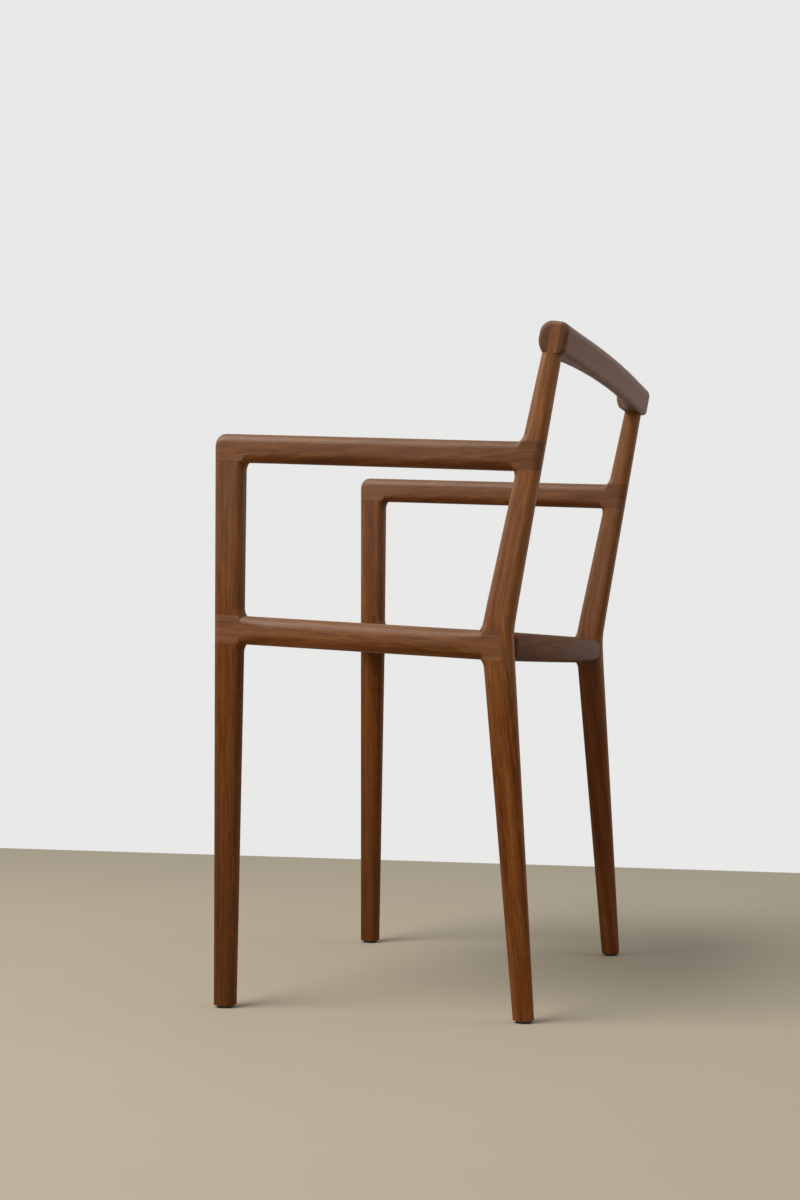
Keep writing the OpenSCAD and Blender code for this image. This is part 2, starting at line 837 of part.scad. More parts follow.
module rear_rail() {
    color(wood)
        union() {
            difference() {
                seat_frame()
                    rear_rail_blank();
                left_frame()
                    rear_leg_at_rail();
                right_side()
                    left_frame()
                        rear_leg_at_rail();
            }
            seat_frame()
                rear_tenons();
        }
}

module crest_rail() {
    color(wood)
        difference() {
            crest_blank();
            left_frame()
                tongue_zone();
            right_side()
                left_frame()
                    tongue_zone();
        }
}

module front_left_block() {
    color(wood)
        front_block();
}

module front_right_block() {
    color(wood)
        right_side()
            front_block();
}

module rear_left_block() {
    color(wood)
        rear_block();
}

module rear_right_block() {
    color(wood)
        right_side()
            rear_block();
}

module seat_board() {
    color(ply)
        seat_frame()
            difference() {
                translate([0, 0, -board_drop])
                    linear_extrude(board_t)
                        polygon(seat_outline(cover_t + soft_gap, 0));
                for (side = [0, 1])
                    mirror([side, 0, 0])
                        screw_places()
                            cylinder(d = screw_d + bore_gap, h = screw_reach + tenon_space, $fn = round_fn);
            }
}

module seat_foam() {
    color(cream)
        seat_frame()
            loft(seat_rings(cover_t + soft_gap, board_t - board_drop));
}

// The cover's skin runs down its inner side, round the edge turned in under the board and up outside
module seat_cover() {
    lining = seat_rings(cover_t, -board_drop);
    turned_edge = seat_outline(cover_turn, 0);
    color(linen)
        seat_frame()
            loft(concat(
                [for (i = [len(lining) - 1:-1:0]) lining[i]],
                [level_ring(turned_edge, -board_drop), level_ring(turned_edge, block_top)],
                seat_rings(0, block_top)));
}

screw_reach = -board_drop + screw_bite - block_low;
module seat_screws() {
    color(steel)
        seat_frame()
            for (side = [0, 1])
                mirror([side, 0, 0])
                    screw_places()
                        screw_shape(0, screw_reach);
}

module foot_glides() {
    rim = glide_h / 3;
    color(dark)
        for (side = [0, 1])
            mirror([side, 0, 0])
                left_frame()
                    glide_places() {
                        cylinder(d1 = glide_d - rim, d2 = glide_d, h = rim, $fn = round_fn);
                        translate([0, 0, rim])
                            cylinder(d = glide_d, h = glide_h - rim, $fn = round_fn);
                        translate([0, 0, glide_h / 2])
                            cylinder(d = glide_pin_d, h = glide_h / 2 + glide_pin_l, $fn = round_fn);
                    }
}

left_front_leg();
right_front_leg();
left_rear_leg();
right_rear_leg();
left_side_rail();
right_side_rail();
left_arm();
right_arm();
front_rail();
rear_rail();
crest_rail();
front_left_block();
front_right_block();
rear_left_block();
rear_right_block();
seat_board();
seat_foam();
seat_cover();
seat_screws();
foot_glides();
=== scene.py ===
import math

import bmesh
import bpy
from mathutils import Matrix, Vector


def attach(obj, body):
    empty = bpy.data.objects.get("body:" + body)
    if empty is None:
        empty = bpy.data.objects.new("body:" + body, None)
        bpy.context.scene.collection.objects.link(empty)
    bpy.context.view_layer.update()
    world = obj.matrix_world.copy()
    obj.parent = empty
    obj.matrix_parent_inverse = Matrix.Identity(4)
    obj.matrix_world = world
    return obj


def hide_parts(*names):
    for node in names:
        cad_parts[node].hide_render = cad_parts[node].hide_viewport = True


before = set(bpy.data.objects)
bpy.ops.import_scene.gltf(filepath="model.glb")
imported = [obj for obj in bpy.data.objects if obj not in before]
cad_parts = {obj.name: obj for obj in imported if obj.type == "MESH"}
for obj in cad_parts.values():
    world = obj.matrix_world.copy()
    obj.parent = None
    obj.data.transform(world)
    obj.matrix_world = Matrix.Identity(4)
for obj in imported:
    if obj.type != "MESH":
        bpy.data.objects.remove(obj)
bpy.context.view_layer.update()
scene = bpy.context.scene
print("chair frame loaded,", len(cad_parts), "nodes")


# a socket that can be used in sums, so a pattern reads like one
class Wire:
    def __init__(self, bench, socket):
        self.bench = bench
        self.socket = socket

    def __add__(self, other):
        return self.bench.sum("ADD", self, other)

    def __radd__(self, other):
        return self.bench.sum("ADD", other, self)

    def __sub__(self, other):
        return self.bench.sum("SUBTRACT", self, other)

    def __rsub__(self, other):
        return self.bench.sum("SUBTRACT", other, self)

    def __mul__(self, other):
        return self.bench.sum("MULTIPLY", self, other)

    def __rmul__(self, other):
        return self.bench.sum("MULTIPLY", other, self)


# the node tree of a material or a world
class Bench:
    def __init__(self, owner):
        self.owner = owner
        owner.use_nodes = True
        self.tree = owner.node_tree
        self.tree.nodes.clear()

    # gives the node's output by number or name, or nothing for a node that ends the tree
    def node(self, kind, settings=None, inputs=None, out=0):
        made = self.tree.nodes.new(kind)
        for key, value in (settings or {}).items():
            if key == "stops":
                ramp = made.color_ramp.elements
                while len(ramp) < len(value):
                    ramp.new(0.5)
                for spot, (place, colour) in zip(ramp, value):
                    spot.position = place
                    spot.color = (*colour, 1)
            else:
                setattr(made, key, value)
        for key, value in (inputs or {}).items():
            if isinstance(value, Wire):
                self.tree.links.new(value.socket, made.inputs[key])
            else:
                made.inputs[key].default_value = value
        return Wire(self, made.outputs[out]) if len(made.outputs) else None

    def sum(self, operation, first, second):
        return self.node("ShaderNodeMath", {"operation": operation}, {0: first, 1: second})

    def blendColour(self, share, first, second):
        first = first if isinstance(first, Wire) else (*first, 1)
        second = second if isinstance(second, Wire) else (*second, 1)
        return self.node("ShaderNodeMix", {"data_type": "RGBA"}, {0: share, 6: first, 7: second}, 2)

    def place(self):
        return self.node("ShaderNodeTexCoord", None, None, "Object")

    def facing(self):
        return self.node("ShaderNodeNewGeometry", None, None, "Normal")

    def part(self, vector, axis):
        return self.node("ShaderNodeSeparateXYZ", None, {"Vector": vector}, axis)

    def scaled(self, vector, factors):
        return self.node("ShaderNodeVectorMath", {"operation": "MULTIPLY"}, {0: vector, 1: factors})

    def noise(self, vector, scale, detail=2.0, rough=0.5):
        return self.node("ShaderNodeTexNoise", {"noise_dimensions": "3D"},
                         {"Vector": vector, "Scale": scale, "Detail": detail, "Roughness": rough})

    # rises softly from 0 at low to 1 at high, which may lie the other way round
    def window(self, value, low, high):
        return self.node("ShaderNodeMapRange", {"interpolation_type": "SMOOTHSTEP"},
                         {"Value": value, "From Min": low, "From Max": high})

    def bump(self, height, distance, strength):
        return self.node("ShaderNodeBump", None,
                         {"Height": height, "Distance": distance, "Strength": strength})

    def surface(self, inputs):
        shader = self.node("ShaderNodeBsdfPrincipled", None, inputs)
        self.node("ShaderNodeOutputMaterial", None, {"Surface": shader})
        return self.owner


def newMaterial(name):
    return Bench(bpy.data.materials.new(name))


def dress(mesh, material):
    mesh.materials.clear()
    mesh.materials.append(material)


def addPiece(name, data):
    piece = bpy.data.objects.new(name, data)
    scene.collection.objects.link(piece)
    return piece


def meshFrom(bm, name):
    mesh = bpy.data.meshes.new(name)
    bm.to_mesh(mesh)
    bm.free()
    return mesh


def bakeModifiers(piece):
    graph = bpy.context.evaluated_depsgraph_get()
    done = bpy.data.meshes.new_from_object(piece.evaluated_get(graph))
    piece.modifiers.clear()
    spare = piece.data
    piece.data = done
    bpy.data.meshes.remove(spare)


# warm brown hardwood: soft bands of a tree cut lengthways, straight fibres, light flecks and open pores
hardwood = {
    "dark": (0.074, 0.0190, 0.0034),
    "middle": (0.158, 0.0485, 0.0092),
    "light": (0.262, 0.0950, 0.0250),
    "endDark": (0.062, 0.0225, 0.0080),
    # painted light: the paler colour of wood lit from above
    "paintedLight": (0.188, 0.117, 0.060),
    "purple": (0.112, 0.0400, 0.0200),
    "bandsPerMetre": 150,
    "poreDepth": 0.00008,
    "roughness": 0.52,
}
# how often each pattern changes in a metre along and across the fibres, and how much it counts
figure = {
    "drift": {"often": (1.5, 8.0, 8.0), "detail": 1.5, "rough": 0.5, "share": 0.7},
    "wander": {"often": (9.0, 40.0, 40.0), "detail": 2.0, "rough": 0.5},
    "streak": {"often": (17.0, 180.0, 180.0), "detail": 3.0, "rough": 0.62, "share": 0.95},
    "fibre": {"often": (48.0, 760.0, 760.0), "detail": 2.0, "rough": 0.6, "share": 0.8},
    "fleck": {"often": (38.0, 520.0, 520.0), "detail": 2.0, "rough": 0.5, "from": (0.56, 0.72),
              "share": 0.45},
    "pores": {"often": (120.0, 1900.0, 1900.0), "detail": 2.0, "rough": 0.5, "from": (0.60, 0.72),
              "share": 0.6},
    "hue": {"often": (3.5, 24.0, 24.0), "detail": 2.0, "rough": 0.5, "from": (0.40, 0.68),
            "share": 0.38},
    "bands": {"detail": 2.0, "rough": 0.6, "share": 0.55, "driftBy": 0.016, "wanderBy": 0.006},
    "endGrain": {"from": (0.55, 0.95), "share": 0.7},
    "shades": (0.14, 0.50, 0.88),
    "fibreHeight": 0.5,
    "bumpStrength": 0.5,
    "roughStreaks": 0.16,
    "roughPores": 0.12,
    "shine": 0.10,
}
# painted sheen and painted light go on the side that runs from where the surface faces a little down to
# where it faces well up
litSideLimits = {
    "faces": (-0.55, 0.75), "top": (0.40, 0.90), "topLoss": 0.65, "steady": 0.75, "streaky": 0.5,
    "rough": 0.56,
}


# a point of the tree, with the fibres along X and the heart on the X axis
def treePlace(b, cut, turn):
    heart = Vector(cut["heart"])
    heart.rotate(turn)
    place = b.place()
    if "bend" in cut:
        # the fibres of a bent leg follow it, one lean over the knee and another under it
        across, forward, up = [b.part(place, axis) for axis in range(3)]
        over = b.sum("MAXIMUM", up - cut["bend"]["knee"], 0.0)
        under = b.sum("MINIMUM", up - cut["bend"]["knee"], 0.0)
        upright = forward - over * cut["bend"]["over"] - under * cut["bend"]["under"]
        place = b.node("ShaderNodeCombineXYZ", None, {"X": across, "Y": upright, "Z": up})
    return b.node("ShaderNodeMapping", None, {"Vector": place, "Rotation": turn, "Location": -heart})


# soft bands round the heart, which drift and wander along the tree
def treeBands(b, along, drift, wander, perMetre):
    rings = figure["bands"]
    around = b.scaled(along, (0.0, 1.0, 1.0))
    radius = b.node("ShaderNodeVectorMath", {"operation": "LENGTH"}, {0: around}, "Value")
    bandNumber = radius + (drift - 0.5) * rings["driftBy"] + (wander - 0.5) * rings["wanderBy"]
    return b.node("ShaderNodeTexNoise", {"noise_dimensions": "1D"},
                  {"W": bandNumber * perMetre, "Scale": 1.0, "Detail": rings["detail"],
                   "Roughness": rings["rough"]})


# 1 where the surface cuts straight across the fibres
def treeEnds(b, turn):
    turned = b.node("ShaderNodeMapping", {"vector_type": "NORMAL"}, {"Vector": b.facing(), "Rotation": turn})
    endOn = b.part(turned, 0)
    return b.window(endOn * endOn, *figure["endGrain"]["from"])


# painted sheen and painted light: a coat's sheen and a paler colour are painted where the wood faces up or
# outwards, most of all high up
def paintSheenAndLight(b, inputs, sheenAndLight, paintedLight, streak):
    upward = b.part(b.facing(), 2)
    litSide = b.window(upward, *litSideLimits["faces"]) * b.window(b.part(b.place(), 2), *sheenAndLight["from"])
    level = 1.0 - b.window(upward, *litSideLimits["top"]) * litSideLimits["topLoss"]
    inputs["Base Color"] = b.blendColour(litSide * sheenAndLight["paintedLightShare"], inputs["Base Color"], paintedLight)
    inputs["Coat Weight"] = litSide * sheenAndLight["most"] * (litSideLimits["steady"] + streak * litSideLimits["streaky"]) * level
    inputs["Coat Roughness"] = litSideLimits["rough"]


# the colour is painted darker along one axis: painted shade towards a foot, and darker towards the arms'
# fork
def darkenAlong(b, inputs, darkens, dark):
    deep = b.window(b.part(b.place(), darkens["axis"]), *darkens["from"])
    inputs["Base Color"] = b.blendColour(deep * darkens["most"], inputs["Base Color"], dark)


# grain is the way the fibres run, heart a point on the middle line of the tree that the piece was cut from
def woodMaterial(name, cut, looks=hardwood):
    b = newMaterial(name)
    # each piece's tone is partly the board's own and partly painted light and shade: pieces in shade are
    # made darker, well-lit ones paler
    toneAndShading = cut.get("toneAndShading", 1.0)
    toned = {key: [c * toneAndShading for c in looks[key]] for key in looks if isinstance(looks[key], tuple)}
    turn = Vector(cut["grain"]).rotation_difference(Vector((1, 0, 0))).to_euler()
    along = treePlace(b, cut, turn)

    def pattern(key):
        facts = figure[key]
        cloud = b.noise(b.scaled(along, facts["often"]), 1.0, facts["detail"], facts["rough"])
        return b.window(cloud, *facts["from"]) if "from" in facts else cloud

    drift, wander, streak, fibre = [pattern(key) for key in ("drift", "wander", "streak", "fibre")]
    pores = pattern("pores")
    bands = treeBands(b, along, drift, wander, looks["bandsPerMetre"])
    ends = treeEnds(b, turn)
    lines = (streak - 0.5) * figure["streak"]["share"] + (fibre - 0.5) * figure["fibre"]["share"]
    shade = 0.5 + (bands - 0.5) * figure["bands"]["share"] + lines * cut.get("strong", 1.0)
    shade = shade + (drift - 0.5) * figure["drift"]["share"]
    shades = list(zip(figure["shades"], (toned["dark"], toned["middle"], toned["light"])))
    colour = b.node("ShaderNodeValToRGB", {"stops": shades}, {"Fac": shade})
    flecks = pattern("fleck") * cut.get("flecks", figure["fleck"]["share"])
    colour = b.blendColour(flecks, colour, toned["light"])
    colour = b.blendColour(pores * figure["pores"]["share"], colour, toned["dark"])
    colour = b.blendColour(ends * figure["endGrain"]["share"], colour, toned["endDark"])
    if "purple" in looks:
        # the heartwood drifts between golden brown and a purplish brown along the board
        colour = b.blendColour(pattern("hue") * figure["hue"]["share"], colour, toned["purple"])
    rough = looks["roughness"] + (streak - 0.5) * figure["roughStreaks"]
    inputs = {
        "Base Color": colour,
        "Roughness": rough + pores * figure["roughPores"] + ends * figure["roughPores"],
        "Normal": b.bump(fibre * figure["fibreHeight"] - pores, looks["poreDepth"], figure["bumpStrength"]),
        "Specular IOR Level": cut.get("shine", figure["shine"]),
        "IOR": 1.5,
    }
    if "sheenAndLight" in cut:
        paintSheenAndLight(b, inputs, cut["sheenAndLight"], toned["paintedLight"], streak)
    if "darkens" in cut:
        darkenAlong(b, inputs, cut["darkens"], toned["dark"])
    return b.surface(inputs)


# each corner takes the mean of the faces round it that lean less than the widest angle from its own
def evenNormals(mesh, widest):
    around = [[] for vert in mesh.vertices]
    for face in mesh.polygons:
        corners = [mesh.vertices[vert].co for vert in face.vertices]
        for spot, vert in enumerate(face.vertices):
            before = corners[spot - 1] - corners[spot]
            after = corners[(spot + 1) % len(corners)] - corners[spot]
            around[vert].append((face.normal.copy(), face.area * before.angle(after, 0.0)))
    least = math.cos(math.radians(widest))
    normals = [None] * len(mesh.loops)
    for face in mesh.polygons:
        for loop, vert in zip(face.loop_indices, face.vertices):
            mean = Vector((0, 0, 0))
            for normal, weight in around[vert]:
                if normal.dot(face.normal) > least:
                    mean += normal * weight
            normals[loop] = mean.normalized() if mean.length > 0 else face.normal.copy()
    mesh.normals_split_custom_set(normals)


# a node's mesh is loose triangles, so a copy is merged before any work on it
joinery = {"merge": 0.000004, "sliver": 0.00001, "sharpFrom": 38}


def mergedCopy(node):
    bm = bmesh.new()
    bm.from_mesh(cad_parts[node].data)
    bmesh.ops.remove_doubles(bm, verts=bm.verts, dist=joinery["merge"])
    return bm


# a wooden solid's copy with smooth rounded edges and its own cut of the tree
def woodPiece(node, cut):
    bm = mergedCopy(node)
    bmesh.ops.dissolve_degenerate(bm, dist=joinery["sliver"], edges=bm.edges)
    for face in bm.faces:
        face.smooth = True
    mesh = meshFrom(bm, node + "_wood")
    evenNormals(mesh, joinery["sharpFrom"])
    dress(mesh, woodMaterial(node + "_grain", cut))
    piece = addPiece(node + "_wood", mesh)
    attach(piece, "root")
    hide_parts(node)


def woodPair(kind, cuts):
    for side in ("left", "right"):
        woodPiece(side + "_" + kind, {**cuts["both"], **cuts[side]})


# painted shade: the lower legs darken from under the seat to the floor
shadeTowardsFoot = {"axis": 2, "from": (0.46, 0.0)}

frontLegs = {
    "both": {
        "sheenAndLight": {"most": 0.9, "paintedLightShare": 0.20, "from": (0.36, 0.60)}, "shine": 0.05, "strong": 0.75,
    },
    "left": {"grain": (0, 0.012, 1), "heart": (0.31, -0.30, 0.35), "toneAndShading": 0.80,
             "darkens": {**shadeTowardsFoot, "most": 0.18}},
    "right": {"grain": (0, -0.02, 1), "heart": (-0.17, -0.28, 1.20), "toneAndShading": 0.96,
              "darkens": {**shadeTowardsFoot, "most": 0.50}},
}
woodPair("front_leg", frontLegs)
print("front legs dressed")

rearLegs = {
    "both": {
        "sheenAndLight": {"most": 0.85, "paintedLightShare": 0.42, "from": (0.28, 0.52)}, "shine": 0.05, "strong": 0.85,
        "bend": {"knee": 0.445, "over": 0.196, "under": -0.13},
    },
    "left": {"grain": (0, 0.006, 1), "heart": (0.33, 0.04, 0.90), "toneAndShading": 1.20,
             "darkens": {**shadeTowardsFoot, "most": 0.24}},
    "right": {"grain": (0, 0, 1), "heart": (-0.19, 0.02, 2.10), "toneAndShading": 1.10,
              "darkens": {**shadeTowardsFoot, "most": 0.14}},
}
woodPair("rear_leg", rearLegs)
print("rear legs dressed")

sideRails = {
    "both": {"sheenAndLight": {"most": 0.85, "paintedLightShare": 0.28, "from": (0.20, 0.40)}},
    "left": {"grain": (0, 1, -0.055), "heart": (0.31, 0.52, 0.36), "toneAndShading": 1.04, "flecks": 0.7},
    "right": {"grain": (0, 1, -0.062), "heart": (-0.16, 1.60, 0.39), "toneAndShading": 0.85},
}
woodPair("side_rail", sideRails)
print("side rails dressed")

arms = {
    "both": {
        "sheenAndLight": {"most": 0.85, "paintedLightShare": 0.35, "from": (0.20, 0.40)},
        "darkens": {"axis": 1, "from": (0.085, 0.125), "most": 0.26},
    },
    "left": {"grain": (0, 1, 0.07), "heart": (0.32, 0.15, 0.56), "toneAndShading": 0.98, "flecks": 0.5},
    "right": {"grain": (0, 1, 0.02), "heart": (-0.18, 0.93, 0.56), "toneAndShading": 1.03},
}
woodPair("arm", arms)
print("arms dressed")

crossRails = {
    "front_rail": {"grain": (1, 0.02, 0.01), "heart": (0.44, -0.30, 0.36), "toneAndShading": 0.95},
    "rear_rail": {"grain": (1, -0.01, 0.01), "heart": (1.21, 0.30, 0.37), "toneAndShading": 0.66, "shine": 0.04},
    "crest_rail": {"grain": (1, 0.015, 0.02), "heart": (2.40, 0.33, 0.69), "toneAndShading": 0.84, "shine": 0.15,
                   "sheenAndLight": {"most": 0.35, "paintedLightShare": 0.42, "from": (0.50, 0.66)}},
}
for node, cut in crossRails.items():
    woodPiece(node, cut)
print("cross rails dressed")


# hidden blocks of plainer sawn wood, in the solids' own shapes
blockWood = {
    "dark": (0.16, 0.085, 0.042), "middle": (0.30, 0.17, 0.09), "light": (0.42, 0.26, 0.15),
    "endDark": (0.15, 0.08, 0.04), "bandsPerMetre": 260, "poreDepth": 0.00015, "roughness": 0.68,
}
blocks = {
    "front_left_block": {"grain": (1, 1, 0), "heart": (0.2, 0.1, 0.32)},
    "front_right_block": {"grain": (1, -1, 0), "heart": (0.9, 0.1, 0.32)},
    "rear_left_block": {"grain": (1, -1, 0), "heart": (1.7, 0.1, 0.32)},
    "rear_right_block": {"grain": (1, 1, 0), "heart": (2.6, 0.1, 0.32)},
}
for node, cut in blocks.items():
    dress(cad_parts[node].data, woodMaterial(node + "_grain", cut, blockWood))

plywood = {
    "dark": (0.36, 0.23, 0.12), "middle": (0.53, 0.37, 0.21), "light": (0.66, 0.50, 0.31),
    "endDark": (0.30, 0.19, 0.10), "bandsPerMetre": 60, "poreDepth": 0.00008, "roughness": 0.7,
}
boardCut = {"grain": (1, 0.02, 0), "heart": (0.3, 0.2, 0.30)}
dress(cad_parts["seat_board"].data, woodMaterial("seat_board_veneer", boardCut, plywood))
print("blocks and seat board dressed")


screwLook = {
    "low": (0.42, 0.42, 0.43), "high": (0.62, 0.62, 0.64), "grainsPerMetre": 900.0,
    "depth": 0.00003, "strength": 0.4, "rough": 0.28, "rougher": 0.22,
}


def metalMaterial(name):
    b = newMaterial(name)
    cloud = b.noise(b.place(), screwLook["grainsPerMetre"], 3.0)
    return b.surface({
        "Base Color": b.blendColour(cloud, screwLook["low"], screwLook["high"]),
        "Metallic": 1.0,
        "Roughness": screwLook["rough"] + cloud * screwLook["rougher"],
        "Normal": b.bump(cloud, screwLook["depth"], screwLook["strength"]),
    })


glideLook = {
    "dark": (0.022, 0.020, 0.018), "scuffed": (0.055, 0.050, 0.045), "scuffs": (0.45, 0.75),
    "gritPerMetre": 2600.0, "scuffsPerMetre": 160.0,
    "depth": 0.00006, "strength": 0.5, "rough": 0.52, "rougher": 0.2,
}


def plasticMaterial(name):
    b = newMaterial(name)
    grit = b.noise(b.place(), glideLook["gritPerMetre"], 2.0)
    scuff = b.window(b.noise(b.place(), glideLook["scuffsPerMetre"], 3.0), *glideLook["scuffs"])
    return b.surface({
        "Base Color": b.blendColour(scuff, glideLook["dark"], glideLook["scuffed"]),
        "Roughness": glideLook["rough"] + grit * glideLook["rougher"],
        "Normal": b.bump(grit, glideLook["depth"], glideLook["strength"]),
    })


dress(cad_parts["seat_screws"].data, metalMaterial("screw_zinc"))
dress(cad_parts["foot_glides"].data, plasticMaterial("glide_nylon"))
print("screws and glides dressed")


# woven cloth of the seat: a plain weave in three directions, mixed by which way the surface faces
clothLook = {
    "thread": (0.50, 0.445, 0.36), "gap": (0.23, 0.195, 0.15), "fleck": (0.62, 0.57, 0.48),
    "threadWidth": 0.0013, "depth": 0.00028, "crossing": 0.6, "rib": 0.2,
    "wobblesPerMetre": 70.0, "wobble": (0.0006, 0.0006, 0.0006),
    "slubsPerMetre": (60.0, 900.0, 60.0), "cloudsPerMetre": 9.0,
    "turns": (0.45, 0.6), "gaps": (0.15, 0.7), "slubs": (0.52, 0.75),
    "slubShare": 0.6, "slubHeight": 0.3, "cloudShare": 0.22, "strength": 0.8,
    "rough": 0.88, "rougher": 0.1, "shine": 0.25,
}


def clothMaterial(name):
    b = newMaterial(name)
    place = b.place()
    wobble = b.node("ShaderNodeTexNoise", {"noise_dimensions": "3D"},
                    {"Vector": place, "Scale": clothLook["wobblesPerMetre"], "Detail": 2.0}, "Color")
    moved = b.node("ShaderNodeVectorMath", {"operation": "MULTIPLY_ADD"},
                   {0: wobble, 1: clothLook["wobble"], 2: place})
    turnRate = math.pi / clothLook["threadWidth"]
    waves = b.scaled(moved, (turnRate, turnRate, turnRate))
    swing = [b.node("ShaderNodeMath", {"operation": "SINE"}, {0: b.part(waves, axis)}) for axis in range(3)]

    def weave(first, second):
        over = first * second
        ribs = first * first + second * second
        return (over * 0.5 + 0.5) * clothLook["crossing"] + ribs * clothLook["rib"]

    sideways, forward = b.part(b.facing(), 0), b.part(b.facing(), 1)
    side = b.window(sideways * sideways, *clothLook["turns"])
    front = b.window(forward * forward, *clothLook["turns"])
    height = weave(swing[0], swing[1])
    height = height + side * (weave(swing[1], swing[2]) - height)
    height = height + front * (weave(swing[0], swing[2]) - height)
    slub = b.noise(b.scaled(place, clothLook["slubsPerMetre"]), 1.0, 2.0)
    cloud = b.noise(place, clothLook["cloudsPerMetre"], 2.0)
    # painted shade: the low places of the weave, between the threads, take the dark gap colour
    colour = b.blendColour(b.window(height, *clothLook["gaps"]), clothLook["gap"], clothLook["thread"])
    thick = b.window(slub, *clothLook["slubs"]) * clothLook["slubShare"]
    colour = b.blendColour(thick, colour, clothLook["fleck"])
    relief = height + slub * clothLook["slubHeight"]
    return b.surface({
        "Base Color": b.blendColour(cloud * clothLook["cloudShare"], colour, clothLook["gap"]),
        "Roughness": clothLook["rough"] + slub * clothLook["rougher"],
        "Normal": b.bump(relief, clothLook["depth"], clothLook["strength"]),
        "Specular IOR Level": clothLook["shine"],
    })


# the seat pad: the foam's form carried down past the board, stuffed as a cloth and cut open underneath
seatPad = {
    "fallDegrees": 3.67, "hinge": (0.0, -0.19348, 0.435), "boardTop": 0.003, "underside": -0.0052,
    "foamCut": 0.0008, "clothGap": 0.0015, "clothThickness": 0.0011, "voxel": 0.0045,
    "pressure": 4.0, "frames": 20, "heldOver": 0.001, "mostSwell": 0.0016, "swellOver": 0.012,
    "hem": 0.021, "frontHem": 0.027, "rearHem": 0.031, "fill": 0.7,
}
fall = math.radians(seatPad["fallDegrees"])
seatUp = Vector((0, math.sin(fall), math.cos(fall)))
hinge = Vector(seatPad["hinge"])


def heightOver(point):
    return (Vector(point) - hinge).dot(seatUp)


def padBody():
    bm = mergedCopy("seat_foam")
    level = seatPad["boardTop"] + seatPad["foamCut"]
    everything = bm.verts[:] + bm.edges[:] + bm.faces[:]
    cutAt = hinge + seatUp * level
    bmesh.ops.bisect_plane(bm, geom=everything, plane_co=cutAt, plane_no=seatUp, clear_inner=True)
    rim = [edge for edge in bm.edges if edge.is_boundary]
    walls = bmesh.ops.extrude_edge_only(bm, edges=rim)["geom"]
    lower = [item for item in walls if isinstance(item, bmesh.types.BMVert)]
    drop = level - (seatPad["underside"] + seatPad["clothGap"])
    bmesh.ops.translate(bm, verts=lower, vec=-seatUp * drop)
    bmesh.ops.holes_fill(bm, edges=[edge for edge in bm.edges if edge.is_boundary], sides=0)
    bmesh.ops.recalc_face_normals(bm, faces=bm.faces)
    pad = addPiece("seat_pad", meshFrom(bm, "seat_pad"))
    remesh = pad.modifiers.new("even", "REMESH")
    remesh.mode = "VOXEL"
    remesh.voxel_size = seatPad["voxel"]
    bakeModifiers(pad)
    # the even body is moved out by the cloth's gap
    bm = bmesh.new()
    bm.from_mesh(pad.data)
    bmesh.ops.recalc_face_normals(bm, faces=bm.faces)
    bm.normal_update()
    for vert in bm.verts:
        vert.co += vert.normal * seatPad["clothGap"]
    bm.to_mesh(pad.data)
    bm.free()
    return pad


# the cloth swells from the board up, and no point goes further than the room in the frame
def stuff(pad):
    start = [vert.co.copy() for vert in pad.data.vertices]
    held = pad.vertex_groups.new(name="held")
    for vert in pad.data.vertices:
        if heightOver(vert.co) < seatPad["boardTop"] + seatPad["heldOver"]:
            held.add([vert.index], 1.0, "REPLACE")
    cloth = pad.modifiers.new("stuffing", "CLOTH")
    cloth.settings.use_pressure = True
    cloth.settings.uniform_pressure_force = seatPad["pressure"]
    cloth.settings.effector_weights.gravity = 0
    cloth.settings.vertex_group_mass = "held"
    cloth.point_cache.frame_start = 1
    cloth.point_cache.frame_end = seatPad["frames"]
    for step in range(1, seatPad["frames"] + 1):
        scene.frame_set(step)
    bakeModifiers(pad)
    scene.frame_set(1)
    for vert, before in zip(pad.data.vertices, start):
        moved = vert.co - before
        share = (heightOver(before) - seatPad["boardTop"]) / seatPad["swellOver"]
        room = seatPad["mostSwell"] * min(1.0, max(0.0, share))
        if moved.length > room:
            moved = moved * (room / moved.length)
        vert.co = before + moved


# the cloth is cut open under the board, leaving a turned hem
opening = {"lowBand": 0.0022, "flatBand": 0.002, "facesDown": -0.9, "endBand": 0.03, "taperRun": 0.05}


def openUnderside(pad):
    bm = bmesh.new()
    bm.from_mesh(pad.data)
    low = [vert.co for vert in bm.verts if heightOver(vert.co) < seatPad["underside"] + opening["lowBand"]]
    nearY, farY = min(spot.y for spot in low), max(spot.y for spot in low)
    frontX = max(abs(spot.x) for spot in low if spot.y < nearY + opening["endBand"])
    rearX = max(abs(spot.x) for spot in low if spot.y > farY - opening["endBand"])
    taper = math.atan2(frontX - rearX, farY - nearY - opening["taperRun"])
    sideX, sideY = frontX - seatPad["hem"], nearY + opening["endBand"]
    cuts = [
        (Vector((0, nearY + seatPad["frontHem"], 0)), Vector((0, -1, 0))),
        (Vector((0, farY - seatPad["rearHem"], 0)), Vector((0, 1, 0))),
        (Vector((sideX, sideY, 0)), Vector((math.cos(taper), math.sin(taper), 0))),
        (Vector((-sideX, sideY, 0)), Vector((-math.cos(taper), math.sin(taper), 0))),
    ]

    def flatUnder():
        top = seatPad["underside"] + opening["flatBand"]
        return [face for face in bm.faces if heightOver(face.calc_center_median()) < top
                and face.normal.dot(seatUp) < opening["facesDown"]]

    for spot, away in cuts:
        under = flatUnder()
        verts = {vert for face in under for vert in face.verts}
        edges = {edge for face in under for edge in face.edges}
        bmesh.ops.bisect_plane(bm, geom=list(verts) + list(edges) + under, plane_co=spot, plane_no=away)
    inside = [face for face in flatUnder()
              if all((face.calc_center_median() - spot).dot(away) < 0 for spot, away in cuts)]
    bmesh.ops.delete(bm, geom=inside, context="FACES")
    for face in bm.faces:
        face.smooth = True
    bm.to_mesh(pad.data)
    bm.free()


